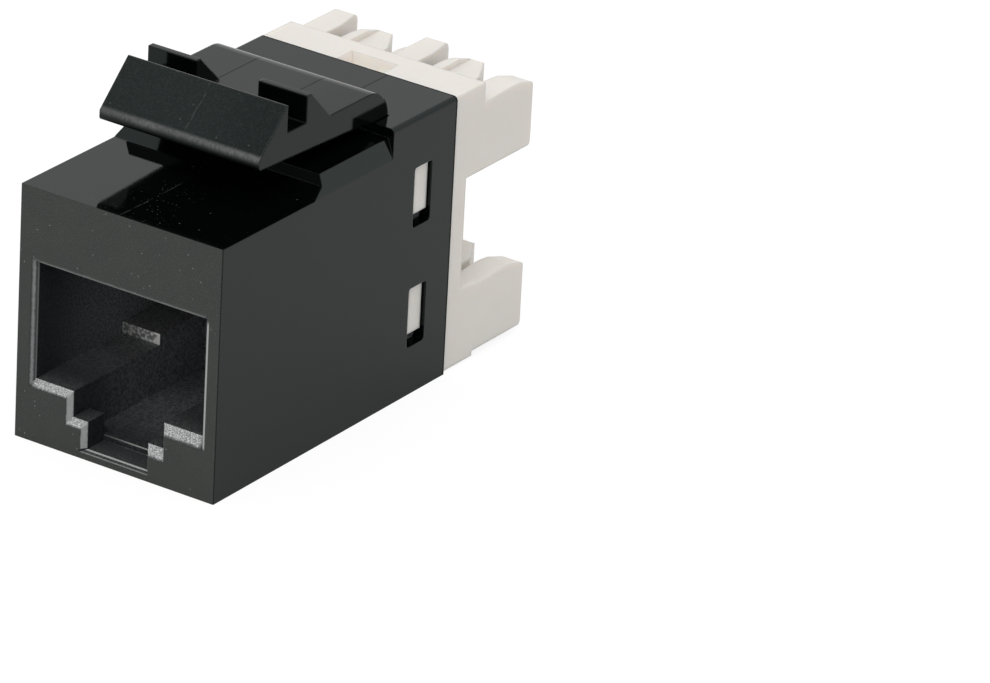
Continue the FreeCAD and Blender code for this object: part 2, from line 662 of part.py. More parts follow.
def make_block():
    """The white block: plate, two rows of teeth, wire slots, blade pockets and snap arms."""
    body = new_body("idc_block")
    plate_rear = rim + plate_thick
    shelf = rim + shelf_length
    crest = high_row + tower_height
    side = [(rim, block_bottom), (shelf, block_bottom), (shelf, low_row)]
    side += row_profile(low_row)
    side += [(plate_rear, low_row + tower_height + root_rise), (plate_rear, high_row)]
    side += row_profile(high_row)
    side += [(shelf, crest - saddle_drop), (shelf, block_top), (rim, block_top)]
    pad(body, "side", [side], block_half * 2, "rows", middle=True)

    tip = rim + tower_length
    splitters = []
    guides = []
    for base in (low_row, high_row):
        peak = base + tower_height + splitter_rise
        splitters.append([(shelf, base), (tip, base, tip_round), (tip, peak - tip_drop, tip_round),
                          (tip - tip_length, peak, tip_length / 2), (shelf, peak)])
        guide_top = base + tower_height + guide_rise
        guides.append([(shelf, base), (tip, base, tip_round),
                       (tip, guide_top, guide_round), (shelf, guide_top)])
    splitter = pad(body, "side", splitters, slot_pitch, "splitter", away=slot_place(3))
    mirrored(body, [splitter], "splitters")
    guide = pad(body, "side", guides, block_half + slot_place(1), "guide", away=-block_half)
    row_across(body, [guide], slot_pitch * 2, 2, "guides")

    spigot_half = rear_half - fit_clear
    spigot = box_corners(-spigot_half, spigot_half, rear_floor + fit_clear, rear_roof - fit_clear)
    pad(body, "front", [spigot], spigot_depth, "spigot", away=-(rim - spigot_depth), reverse=True)
    arms = []
    for name, sill in (("low", window_low), ("high", window_high)):
        under, over = snap_band(sill)
        arm = box_corners(spigot_half - snap_thick, spigot_half, under, over)
        arms.append(pad(body, "front", [arm], rim - snap_front, "snap_arm_" + name,
                        away=-snap_front, reverse=True))
        hook_rear = window_front + window_length - snap_rear
        hook = [
            (spigot_half - fit_clear, window_front + fit_clear),
            (spigot_half, window_front + fit_clear),
            (spigot_half + snap_reach, hook_rear - snap_face),
            (spigot_half + snap_reach, hook_rear),
            (spigot_half - fit_clear, hook_rear),
        ]
        arms.append(pad(body, "plan", [hook], over - under, "snap_hook_" + name, away=under))
    mirrored(body, arms, "snap_arms")

    slot_half = slot_width / 2
    mouth_half = slot_mouth / 2
    first = slot_place(1)
    beyond = tip + fit_clear
    neck = rim + slot_neck
    slot = [
        (first - slot_half, rim + slot_floor),
        (first + slot_half, rim + slot_floor),
        (first + slot_half, neck),
        (first + mouth_half, tip),
        (first + mouth_half, beyond),
        (first - mouth_half, beyond),
        (first - mouth_half, tip),
        (first - slot_half, neck),
    ]
    slots = pocket(body, "plan", [slot], block_top * 2, "slot", middle=True)
    row_across(body, [slots], slot_pitch, SLOTS, "slots")

    second = slot_place(2)
    point_left = first + splitter_lead
    point_right = point_left + splitter_tip
    flanks = [
        [(first, neck), (first + slot_half, neck), (point_left, tip), (point_left, beyond), (first, beyond)],
        [(second, neck), (second, beyond), (point_right, beyond),
         (point_right, tip), (second - slot_half, neck)],
    ]
    flank = pocket(body, "plan", flanks, block_top * 2, "splitter_flanks", middle=True)
    row_across(body, [flank], slot_pitch * 2, 2, "splitter_points")

    ledge_right = second - slot_half
    ledges = []
    for base in (low_row, high_row):
        peak = base + tower_height + splitter_rise
        ledges.append(box_corners(ledge_right - tooth_ledge_width, ledge_right + fit_clear,
                                  peak - tooth_ledge, peak + fit_clear))
    ledge = pocket(body, "front", ledges, beyond - shelf, "tooth_ledge", away=-shelf)
    row_across(body, [ledge], slot_pitch * 2, 2, "tooth_ledges")

    room_half = blade_width / 2 + fit_clear * 2
    blade_room = box_corners(first - room_half, first + room_half,
                             rim - spigot_depth - fit_clear, rim + blade_tip + fit_clear)
    for row, height in (("low", low_blade), ("high", high_blade)):
        room = pocket(body, "plan", [blade_room], blade_thick + fit_clear * 2, "blade_room_" + row,
                      away=height, middle=True)
        row_across(body, [room], slot_pitch, SLOTS, "blade_rooms_" + row)

    gate_half = gate_width / 2
    gate = box_corners(-gate_half, gate_half, block_top - gate_depth, block_top + fit_clear)
    pocket(body, "front", [gate], gate_length, "top_hollow", away=-rim)
    return body


def make_blade(number, height, row):
    """One cutting blade: pin, shank and slit fork."""
    body = new_body("idc_blade_" + row + "_" + str(number))
    fork_half = blade_width / 2
    shank_half = blade_shank / 2
    slit_half = blade_slit / 2
    pin_half = pin_width / 2
    tip = rim + blade_tip
    right = [
        (pin_half, board_place - pin_stand),
        (pin_half, rim - spigot_depth),
        (shank_half, rim - spigot_depth),
        (shank_half, rim + blade_fork - fork_half + shank_half),
        (fork_half, rim + blade_fork),
        (fork_half, tip),
        (slit_half + blade_lead / 2, tip),
        (slit_half, tip - blade_lead),
        (slit_half, rim + blade_slit_foot),
    ]
    left = [(-x, y) for x, y in reversed(right)]
    pad(body, "plan", [right + left], blade_thick, "blade_" + row + "_" + str(number),
        away=height, middle=True)
    body.setExpression("Placement.Base.x", slot_place(number).text)
    return body


make_housing()
make_latch()
make_insert()
for wire_number in range(1, CONTACTS + 1):
    make_wire(wire_number)
make_board()
make_block()
for blade_row, blade_height in (("low", low_blade), ("high", high_blade)):
    for blade_number in range(1, SLOTS + 1):
        make_blade(blade_number, blade_height, blade_row)

doc.recompute()
for thing in doc.Objects:
    if "Invalid" in thing.State or "Error" in thing.State:
        raise RuntimeError(thing.Label + " failed: " + ", ".join(thing.State))
for body in nodes:
    if body.Shape.isNull() or not body.Shape.isValid():
        raise RuntimeError(body.Label + " has no valid shape")
    body.Shape.exportStep("parts/" + body.Label + ".step")
    print(body.Label, round(body.Shape.Volume, 2), len(body.Shape.Solids))
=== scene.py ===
import math

import bpy
from mathutils import Matrix, Vector


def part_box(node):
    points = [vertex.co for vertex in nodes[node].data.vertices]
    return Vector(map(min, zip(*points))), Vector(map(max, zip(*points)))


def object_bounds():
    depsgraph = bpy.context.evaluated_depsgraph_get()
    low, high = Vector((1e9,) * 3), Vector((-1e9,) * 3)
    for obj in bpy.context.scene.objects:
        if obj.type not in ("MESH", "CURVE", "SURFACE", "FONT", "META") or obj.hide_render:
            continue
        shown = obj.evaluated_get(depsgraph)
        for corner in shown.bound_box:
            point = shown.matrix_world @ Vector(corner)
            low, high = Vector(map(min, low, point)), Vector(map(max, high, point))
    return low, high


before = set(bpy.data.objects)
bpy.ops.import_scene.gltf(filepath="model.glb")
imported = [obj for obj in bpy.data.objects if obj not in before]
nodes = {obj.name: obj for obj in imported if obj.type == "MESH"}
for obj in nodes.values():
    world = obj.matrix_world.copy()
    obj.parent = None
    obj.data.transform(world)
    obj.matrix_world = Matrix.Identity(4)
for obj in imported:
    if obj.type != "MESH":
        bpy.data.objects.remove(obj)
cad_low, cad_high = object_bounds()

MM = 0.001

# The camera stands at the front right and above, a little turned about its own axis.
CAMERA_AZIMUTH = math.radians(33.0784)
CAMERA_ELEVATION = math.radians(24.7292)
CAMERA_ROLL = math.radians(3.1714)
CAMERA_DISTANCE = 466.8027 * MM
CAMERA_SIDEWAYS = 22.0082 * MM
CAMERA_UPWARDS = 0.2077 * MM
CAMERA_AIM = Vector((0.05 * MM, 0.0, 8.1 * MM))
CAMERA_NEAREST = 0.01
CAMERA_FARTHEST = 20.0
SENSOR_WIDTH = 36.0
FOCAL_PIXELS = 8000.0
IMAGE_WIDTH = 990.0

# Places of the jack that the marks on it follow.
housing_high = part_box("housing")[1]
latch_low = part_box("latch_arm")[0]
block_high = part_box("idc_block")[1]
PLATFORM_TOP = housing_high.z - 2.0 * MM
NOSE_FOOT = housing_high.z + 0.7 * MM
OPENING_SIDE = 6.55 * MM
OPENING_TOP = 11.95 * MM
OPENING_FOOT = 0.32 * MM
LEDGE_HEIGHT = 3.95 * MM
BEVEL_DEPTH = 0.4125 * MM
STOP_PLACE = 8.85 * MM
STOP_END = -3.36 * MM
SLOT_SIDE = 2.225 * MM
SLOT_STEP = 2.07 * MM
RIGHT_SPLIT = 2.22 * MM
LEFT_SPLIT = -2.48 * MM
GATE_SIDE = 1.85 * MM

# Base colours, linear.
WHITE = (1.0, 1.0, 1.0, 1)
BLACK = (0.0007, 0.0009, 0.0009, 1)
BLACK_CLOUD = (0.0013, 0.0017, 0.0016, 1)
BLACK_DUST = (0.05, 0.055, 0.05, 1)
GRAIN_DARK = (0.016, 0.017, 0.016, 1)
GRAIN_PALE = (0.062, 0.064, 0.060, 1)
GRAIN_BLOTCH = (0.055, 0.050, 0.042, 1)
GRAIN_FLECK = (0.22, 0.23, 0.22, 1)
GRAIN_GLINT = (0.45, 0.45, 0.44, 1)
# Painted light: pale specks on the opening's floors near the entry.
ENTRY_LIGHT_SPECKS = (0.24, 0.25, 0.25, 1)
# The stop faces' streaked tone, which painted light and a painted highlight brighten further.
STOP_DARK = (0.30, 0.31, 0.31, 1)
# Pale etched bevels round the opening, which carry painted highlights.
LEVEL_BEVEL_DARK = (0.20, 0.203, 0.203, 1)
LEVEL_BEVEL_PALE = (0.60, 0.605, 0.60, 1)
UPRIGHT_BEVEL_DARK = (0.045, 0.05, 0.05, 1)
UPRIGHT_BEVEL_GREY = (0.27, 0.275, 0.272, 1)
UPRIGHT_BEVEL_PALE = (0.40, 0.405, 0.40, 1)
# Painted highlight lines on the latch slots' floors.
SLOT_HIGHLIGHT = (0.62, 0.63, 0.62, 1)
# Painted highlight lines on the front face round the opening.
RIM_HIGHLIGHT = (0.36, 0.37, 0.365, 1)
PLATFORM_DUST = (0.16, 0.165, 0.16, 1)
# Painted soft highlight on the latch's nose.
NOSE_HIGHLIGHT = (0.15, 0.152, 0.15, 1)
IVORY = (0.72, 0.69, 0.645, 1)
IVORY_CLOUD = (0.77, 0.735, 0.69, 1)
# Painted light in the hollow on the ivory block's top.
IVORY_HOLLOW_GLOW = (0.93, 0.885, 0.83, 1)
INSERT_BLACK = (0.004, 0.0045, 0.0045, 1)
INSERT_STREAK = (0.009, 0.0095, 0.0095, 1)
GILT = (0.80, 0.58, 0.24, 1)
GILT_CLOUD = (0.90, 0.70, 0.34, 1)
TIN = (0.66, 0.66, 0.64, 1)
TIN_CLOUD = (0.76, 0.76, 0.74, 1)
SOLDER_MASK = (0.012, 0.10, 0.035, 1)
SOLDER_MASK_CLOUD = (0.02, 0.14, 0.05, 1)
LAMINATE = (0.30, 0.27, 0.14, 1)
LAMINATE_WEAVE = (0.42, 0.38, 0.22, 1)
CARD = (0.60, 0.60, 0.595, 1)
CARD_CLOUD = (0.62, 0.62, 0.615, 1)
CARD_SHOWN = (0.16, 0.16, 0.16, 1)

# The black plastic mirrors the white surroundings faintly, and a little green.
BLACK_SHINE = 0.27
BLACK_SHINE_TINT = (0.80, 1.0, 0.965, 1.0)

# Sockets of the Mix node, which has a pair for numbers and a pair for colours.
MIX_FACTOR = 0
MIX_NUMBERS = (2, 3)
MIX_COLOURS = (6, 7)
MIX_COLOUR_OUT = 2

EDGE_SAMPLES = 6
SPECK_CORE = 0.4
FLOOR_HALF = 4.0
FLOOR_GAP = 0.01 * MM
FLOOR_GLOSSY_GLOW = 0.20
FLOOR_SHOWN_GLOW = 0.87
LAMP_PLACE = (0.16, -0.34, 0.58)
LAMP_SIZE = 0.30
LAMP_WATTS = 1.2


def make_camera():
    """The camera at the photograph's viewing angle."""
    flat = math.cos(CAMERA_ELEVATION)
    back = Vector((
        math.sin(CAMERA_AZIMUTH) * flat,
        -math.cos(CAMERA_AZIMUTH) * flat,
        math.sin(CAMERA_ELEVATION),
    ))
    level = Vector((math.cos(CAMERA_AZIMUTH), math.sin(CAMERA_AZIMUTH), 0.0))
    upright = back.cross(level)
    right = level * math.cos(CAMERA_ROLL) + upright * math.sin(CAMERA_ROLL)
    up = upright * math.cos(CAMERA_ROLL) - level * math.sin(CAMERA_ROLL)
    data = bpy.data.cameras.new("camera")
    data.sensor_width = SENSOR_WIDTH
    data.lens = FOCAL_PIXELS * SENSOR_WIDTH / IMAGE_WIDTH
    data.clip_start = CAMERA_NEAREST
    data.clip_end = CAMERA_FARTHEST
    camera = bpy.data.objects.new("camera", data)
    bpy.context.scene.collection.objects.link(camera)
    turn = Matrix((right, up, back)).transposed().to_4x4()
    place = CAMERA_AIM + back * CAMERA_DISTANCE + right * CAMERA_SIDEWAYS + up * CAMERA_UPWARDS
    camera.matrix_world = Matrix.Translation(place) @ turn
    bpy.context.scene.camera = camera


class Wires:
    """The nodes of one material or world, with short names for the steps that repeat."""

    def __init__(self, owner):
        owner.use_nodes = True
        self.tree = owner.node_tree
        self.tree.nodes.clear()

    def add(self, kind, **inputs):
        """A new node; each input is a number, a colour or another node's output."""
        node = self.tree.nodes.new("ShaderNode" + kind)
        for name, value in inputs.items():
            self.put(node.inputs[name.replace("_", " ")], value)
        return node

    def put(self, socket, value):
        """Links an output to the socket, or writes a plain value there."""
        if isinstance(value, bpy.types.NodeSocket):
            self.tree.links.new(value, socket)
        else:
            socket.default_value = value

    def math(self, operation, first, second=0.0, third=0.0):
        node = self.tree.nodes.new("ShaderNodeMath")
        node.operation = operation
        for socket, value in zip(node.inputs, (first, second, third)):
            self.put(socket, value)
        return node.outputs[0]

    def times(self, product, *others):
        """The product of several numbers."""
        for other in others:
            product = self.math("MULTIPLY", product, other)
        return product

    def plus(self, first, second):
        return self.math("ADD", first, second)

    def most(self, first, second):
        return self.math("MAXIMUM", first, second)

    def size_of(self, value):
        return self.math("ABSOLUTE", value)

    def ramp(self, value, low, high, first=0.0, last=1.0):
        """Maps low..high smoothly to first..last."""
        node = self.tree.nodes.new("ShaderNodeMapRange")
        node.interpolation_type = "SMOOTHSTEP"
        for socket, number in zip(node.inputs, (value, low, high, first, last)):
            self.put(socket, number)
        return node.outputs[0]

    def over(self, value, edge, soft):
        """1 where value lies over the edge and 0 under it, soft being half the change's width."""
        return self.ramp(value, edge - soft, edge + soft)

    def under(self, value, edge, soft):
        """1 where value lies under the edge and 0 over it."""
        return self.ramp(value, edge + soft, edge - soft)

    def line(self, value, middle, outer, inner, level=1.0):
        """A soft line where value is near middle: full within inner, gone beyond outer."""
        off = self.size_of(self.math("SUBTRACT", value, middle))
        return self.ramp(off, outer, inner, 0.0, level)

    def blend(self, factor, first, second):
        """Mixes two colours."""
        node = self.tree.nodes.new("ShaderNodeMix")
        node.data_type = "RGBA"
        self.put(node.inputs[MIX_FACTOR], factor)
        for socket, colour in zip(MIX_COLOURS, (first, second)):
            self.put(node.inputs[socket], colour)
        return node.outputs[MIX_COLOUR_OUT]

    def blend_value(self, factor, first, second):
        """Mixes two numbers."""
        node = self.tree.nodes.new("ShaderNodeMix")
        self.put(node.inputs[MIX_FACTOR], factor)
        for socket, number in zip(MIX_NUMBERS, (first, second)):
            self.put(node.inputs[socket], number)
        return node.outputs[0]

    def scaled(self, colour, factor):
        """A colour made brighter or darker."""
        node = self.add("VectorMath")
        node.operation = "SCALE"
        self.put(node.inputs[0], colour)
        self.put(node.inputs["Scale"], factor)
        return node.outputs[0]

    def place(self):
        """Reads the point's place on the object, in metres."""
        self.point = self.add("TexCoord").outputs["Object"]
        self.x, self.y, self.z = self.add("SeparateXYZ", Vector=self.point).outputs

    def facing(self):
        """Reads the surface's direction on the object."""
        direction = self.add("TexCoord").outputs["Normal"]
        self.nx, self.ny, self.nz = self.add("SeparateXYZ", Vector=direction).outputs

    def stretched(self, scale):
        """The point's place, squeezed along each axis so that a texture stretches there."""
        return self.add("Mapping", Vector=self.point, Scale=scale).outputs[0]

    def noise(self, size, detail=2.0, point=None):
        """Cloudy noise whose features are about that size in metres."""
        point = self.point if point is None else point
        return self.add("TexNoise", Vector=point, Scale=1.0 / size, Detail=detail).outputs[0]

    def wander(self, size, detail, reach):
        """Noise from half the reach under 0 to half the reach over it, which frays an edge."""
        return self.math("MULTIPLY_ADD", self.noise(size, detail), reach, -reach / 2)

    def specks(self, size, share):
        """Scattered round specks about that far apart; share says how large each is."""
        cells = self.add("TexVoronoi", Vector=self.point, Scale=1.0 / size, Randomness=1.0)
        return self.ramp(cells.outputs["Distance"], share, share * SPECK_CORE)

    def tint(self, mask, colour):
        """Lays a colour over the base colour where the mask says."""
        self.base = self.blend(mask, self.base, colour)

    def roughen(self, mask, amount):
        self.roughness = self.plus(self.roughness, self.times(mask, amount))

    def bump(self, height, distance, normal=None):
        node = self.add("Bump", Height=height, Distance=distance, Strength=1.0)
        if normal is not None:
            self.put(node.inputs["Normal"], normal)
        return node.outputs[0]

    def worn_edge(self, radius):
        """A normal that is rounded over the sharp edges."""
        node = self.add("Bevel", Radius=radius)
        node.samples = EDGE_SAMPLES
        return node.outputs[0]

    def principled(self, normal):
        """The shader of the base colour and roughness gathered so far."""
        return self.add("BsdfPrincipled", Base_Color=self.base, Roughness=self.roughness, Normal=normal)

    def surface(self, shader):
        output = self.tree.nodes.new("ShaderNodeOutputMaterial")
        self.tree.links.new(shader.outputs[0], output.inputs["Surface"])


def new_material(name):
    """A material and its wires, with the point's place read."""
    material = bpy.data.materials.new(name)
    wires = Wires(material)
    wires.place()
    return material, wires


def upward(wires, cavity):
    """The opening's floors."""
    return wires.times(cavity, wires.over(wires.nz, 0.8, 0.1))


def etch_opening(wires, cavity, grain, sparkle):
    """The opening's etched walls, made paler with depth by painted light, with painted light specks on the
    floors at the entry.
    """
    shade = wires.ramp(grain, 0.32, 0.72, 0.55, 1.60)
    # Painted light: the walls' colour rises with depth to stand in for light reaching inside.
    depth = wires.ramp(wires.y, 0.9 * MM, 11.0 * MM, 0.017, 0.18)
    etched = wires.add(
        "CombineColor", Red=depth, Green=wires.times(depth, 1.06), Blue=wires.times(depth, 1.17))
    wires.tint(cavity, wires.scaled(etched.outputs[0], shade))
    wires.roughen(cavity, 0.35)
    # Painted light: pale specks on the floors near the entry, fading inwards.
    entry = wires.times(upward(wires, cavity), wires.ramp(wires.y, 3.0 * MM, 0.4 * MM, 0.0, 0.35))
    wires.tint(wires.times(entry, sparkle), ENTRY_LIGHT_SPECKS)


def light_stops(wires, cavity):
    """The streaked pale faces that stop the plug's nose, made brighter towards their right end by painted
    light, with a painted highlight there.
    """
    stops = wires.times(
        cavity,
        wires.under(wires.ny, -0.94, 0.04),
        wires.line(wires.y, STOP_PLACE, 0.10 * MM, 0.05 * MM))
    streaks = wires.ramp(wires.noise(0.22 * MM, 3.0), 0.42, 0.58)
    # Painted light grows towards the faces' right end, where a painted highlight line lies.
    towards_end = wires.ramp(wires.x, -5.6 * MM, -3.4 * MM, 0.45, 1.0)
    end = wires.line(wires.x, STOP_END, 0.26 * MM, 0.12 * MM)
    bright = wires.blend(end, wires.blend(streaks, STOP_DARK, WHITE), WHITE)
    wires.tint(stops, wires.scaled(bright, towards_end))


def paint_bevel_highlights(wires, cavity, wide, grain, sparkle):
    """The pale etched bevels round the opening, with painted highlights: sparkling on the level ones, fine
    lines on the upright ones.
    """
    ragged = wires.wander(0.14 * MM, 2.0, 0.12 * MM)
    frayed_y = wires.plus(wires.y, ragged)
    bevel = wires.times(cavity, wires.under(wires.y, BEVEL_DEPTH, 0.0075 * MM))
    sloping = wires.under(wires.size_of(wires.plus(wires.ny, 0.62)), 0.35, 0.01)

    ends = wires.most(
        wires.under(wires.plus(wide, wires.times(ragged, 2.0)), 6.16 * MM, 0.14 * MM),
        wires.over(wires.z, LEDGE_HEIGHT - 0.025 * MM, 0.025 * MM))
    # Painted highlights on the level bevels, over their etched sparkle.
    level = wires.times(
        bevel,
        sloping,
        wires.times(wires.over(wires.nz, 0.175, 0.075), wires.under(wires.nz, 0.83, 0.03)),
        wires.ramp(frayed_y, 0.02 * MM, 0.12 * MM, 0.15, 1.0),
        ends)
    wires.tint(level, wires.blend(sparkle, LEVEL_BEVEL_DARK, LEVEL_BEVEL_PALE))

    # Painted highlight lines on the upright bevels.
    standing = wires.times(
        bevel, sloping, wires.under(wires.nz, 0.175, 0.075), wires.over(wires.z, 0.59 * MM, 0.03 * MM))
    pale = wires.blend(grain, UPRIGHT_BEVEL_GREY, UPRIGHT_BEVEL_PALE)
    inner = wires.times(
        wires.ramp(frayed_y, 0.0, 0.10 * MM), wires.ramp(frayed_y, 0.42 * MM, 0.34 * MM, 0.3, 1.0))
    outer = wires.most(
        wires.line(frayed_y, 0.15 * MM, 0.13 * MM, 0.02 * MM, 0.62),
        wires.line(wires.y, 0.36 * MM, 0.05 * MM, 0.02 * MM, 0.22))
    along = wires.blend_value(wires.over(wide, 5.95 * MM, 0.05 * MM), inner, outer)
    wires.tint(standing, wires.blend(along, UPRIGHT_BEVEL_DARK, pale))


def draw_slot_highlights(wires, cavity, wide):
    """Painted highlight lines across the floors of the latch slots, along their edges."""
    low = wires.times(
        cavity, wires.under(wires.z, 0.58 * MM, 0.02 * MM), wires.over(wires.nz, 0.89, 0.04))
    # Painted highlights on the edges of the slot floors and of the step.
    rear_highlight = wires.line(wires.y, 0.36 * MM, 0.11 * MM, 0.02 * MM, 0.70)
    front_highlight = wires.line(wires.y, 0.04 * MM, 0.09 * MM, 0.03 * MM, 0.30)
    step = wires.times(
        upward(wires, cavity),
        wires.under(wide, SLOT_SIDE, 0.025 * MM),
        wires.line(wires.y, SLOT_STEP, 0.10 * MM, 0.06 * MM, 0.6),
        wires.ramp(wires.x, -1.9 * MM, 0.2 * MM, 0.25, 1.0))
    wires.tint(wires.most(wires.times(low, wires.most(rear_highlight, front_highlight)), step), SLOT_HIGHLIGHT)


def draw_rim_highlights(wires, wide):
    """Thin painted highlight lines on the front face along the opening's upper and right edges."""
    face = wires.under(wires.y, 0.0035 * MM, 0.0015 * MM)
    broken = wires.ramp(wires.noise(0.35 * MM, 3.0), 0.3, 0.7, 0.05, 0.30)
    lintel = wires.times(
        wires.line(wires.z, 11.77 * MM, 0.05 * MM, 0.02 * MM),
        wires.under(wide, 6.275 * MM, 0.075 * MM),
        broken)
    jamb = wires.times(
        wires.line(wires.x, 6.44 * MM, 0.08 * MM, 0.05 * MM),
        wires.over(wires.z, 3.35 * MM, 0.15 * MM),
        wires.under(wires.z, 11.4 * MM, 0.2 * MM))
    wires.tint(wires.times(face, wires.most(lintel, jamb)), RIM_HIGHLIGHT)


def opening_look(wires):
    """The plug opening: etched inside and brightened with depth by painted light, with pale bevels and
    painted highlights on the edges.
    """
    wide = wires.size_of(wires.x)
    cavity = wires.times(
        wires.under(wide, OPENING_SIDE, 0.05 * MM),
        wires.under(wires.z, OPENING_TOP, 0.05 * MM),
        wires.over(wires.y, 0.0075 * MM, 0.0025 * MM),
        wires.over(wires.z, OPENING_FOOT, 0.02 * MM))
    grain = wires.noise(0.16 * MM, 4.0)
    sparkle = wires.ramp(wires.noise(0.075 * MM, 3.0), 0.38, 0.66)
    etch_opening(wires, cavity, grain, sparkle)
    light_stops(wires, cavity)
    paint_bevel_highlights(wires, cavity, wide, grain, sparkle)
    draw_slot_highlights(wires, cavity, wide)
    draw_rim_highlights(wires, wide)


def front_grain(wires):
    """The fine grain, blotches and flecks of the housing's front face."""
    front = wires.times(
        wires.ramp(wires.ny, -0.9, -0.99), wires.under(wires.y, 0.045 * MM, 0.015 * MM))
    grain = wires.noise(0.05 * MM, 3.0)
    blotches = wires.ramp(wires.noise(1.6 * MM, 3.0), 0.35, 0.7, 0.0, 0.25)
    colour = wires.blend(wires.ramp(grain, 0.38, 0.64), GRAIN_DARK, GRAIN_PALE)
    colour = wires.blend(blotches, colour, GRAIN_BLOTCH)
    colour = wires.blend(wires.times(wires.specks(0.17 * MM, 0.16), 0.35), colour, GRAIN_FLECK)
    colour = wires.blend(wires.times(wires.specks(0.55 * MM, 0.08), 0.6), colour, GRAIN_GLINT)
    wires.tint(front, colour)
    wires.roughen(front, 0.36)
    wires.relief = wires.plus(wires.relief, wires.times(grain, front, 0.8))


def platform_dust(wires):
    """The dust and the thin weld line on the platform in front of the latch."""
    level = wires.times(
        wires.ramp(wires.nz, 0.9, 0.99), wires.line(wires.z, PLATFORM_TOP, 0.10 * MM, 0.05 * MM))
    wobbled_x = wires.plus(wires.x, wires.wander(1.2 * MM, 2.0, 0.24 * MM))
    weld = wires.times(
        wires.line(wobbled_x, -0.18 * MM, 0.045 * MM, 0.010 * MM, 0.22),
        wires.under(wires.y, 6.2 * MM, 0.4 * MM),
        wires.ramp(wires.noise(0.5 * MM, 2.0), 0.38, 0.55))
    off_middle = wires.size_of(wires.math("SUBTRACT", wires.x, 0.2 * MM))
    near = wires.times(wires.ramp(off_middle, 3.0 * MM, 0.8 * MM), wires.ramp(wires.y, 8.0 * MM, 4.0 * MM))
    dust = wires.times(wires.specks(0.26 * MM, 0.14), wires.times(near, 0.7))
    strays = wires.times(wires.specks(1.1 * MM, 0.06), 0.5)
    wires.tint(wires.times(level, wires.most(weld, wires.most(dust, strays))), PLATFORM_DUST)


def latch_marks(wires):
    """A painted soft highlight on the nose and low on the ramp, the mottled ramp and the weld line down
    the ramp's middle.
    """
    height = wires.math("SUBTRACT", wires.z, NOSE_FOOT)
    nose = wires.times(
        wires.ramp(wires.ny, -0.75, -0.95), wires.under(wires.y, latch_low.y + 0.4 * MM, 0.1 * MM))
    along = wires.noise(0.14 * MM, 3.0, wires.stretched((1.0, 1.0, 0.25)))
    streaks = wires.times(
        wires.ramp(along, 0.3, 0.7, 0.75, 1.25), wires.ramp(wires.noise(3.0 * MM), 0.3, 0.7, 0.8, 1.2))
    # Painted soft highlight on the nose's rounded edge, streaked.
    nose_highlight = wires.ramp(height, 0.28 * MM, 0.68 * MM, 0.0, 0.6)
    wires.tint(wires.times(nose_highlight, wires.times(streaks, nose)), NOSE_HIGHLIGHT)
    wires.roughen(nose, 0.25)

    slope = wires.times(wires.ramp(wires.ny, -0.5, -0.65), wires.over(wires.nz, 0.5, 0.1))
    mottle = wires.ramp(wires.noise(0.14 * MM, 4.0), 0.40, 0.75, 0.0, 0.008)
    wobbled_x = wires.plus(wires.x, wires.wander(1.5 * MM, 3.0, 0.5 * MM))
    weld = wires.times(
        wires.line(wobbled_x, 0.25 * MM, 0.07 * MM, 0.02 * MM),
        wires.ramp(wires.noise(0.35 * MM, 2.0), 0.35, 0.6, 0.0, 0.022))
    flecks = wires.times(wires.specks(0.9 * MM, 0.08), 0.05)
    # Painted highlight reaching up the ramp just over the nose.
    foot = wires.times(wires.ramp(height, 0.93 * MM, 0.74 * MM), streaks)
    marks = wires.plus(wires.plus(mottle, wires.plus(weld, flecks)), wires.times(foot, 0.072))
    marked_and_lit = wires.add("VectorMath")
    marked_and_lit.operation = "ADD"
    wires.put(marked_and_lit.inputs[0], wires.base)
    wires.put(marked_and_lit.inputs[1], wires.add("CombineColor", Red=marks, Green=marks, Blue=marks).outputs[0])
    wires.tint(slope, marked_and_lit.outputs[0])
    wires.roughen(slope, 0.12)


def begin_black(name):
    """A cloudy, slightly dusty black plastic, as the housing and the latch share it."""
    material, wires = new_material(name)
    wires.facing()
    wires.cloud = wires.noise(2.5 * MM, 3.0)
    wires.base = wires.blend(wires.cloud, BLACK, BLACK_CLOUD)
    wires.tint(wires.times(wires.specks(0.42 * MM, 0.10), 0.25), BLACK_DUST)
    wires.roughness = wires.ramp(wires.cloud, 0.3, 0.7, 0.07, 0.12)
    wires.relief = wires.times(wires.noise(0.12 * MM, 2.0), 0.06)
    return material, wires


def split_line(wires, place):
    """A parting line of the mould, upright in the plane x = place."""
    return wires.line(wires.x, place, 0.055 * MM, 0.02 * MM)


def end_black(wires, splits, shine, edge_radius):
    """Darkens the parting lines on the upper faces, wears the edges and closes the material."""
    splits = wires.times(splits, wires.over(wires.nz, 0.94, 0.04))
    shine = wires.times(shine, wires.math("SUBTRACT", 1.0, wires.times(splits, 0.85)))
    shader = wires.principled(wires.bump(wires.relief, 0.02 * MM, wires.worn_edge(edge_radius)))
    wires.put(shader.inputs["Specular IOR Level"], shine)
    wires.put(shader.inputs["Specular Tint"], BLACK_SHINE_TINT)
    wires.surface(shader)


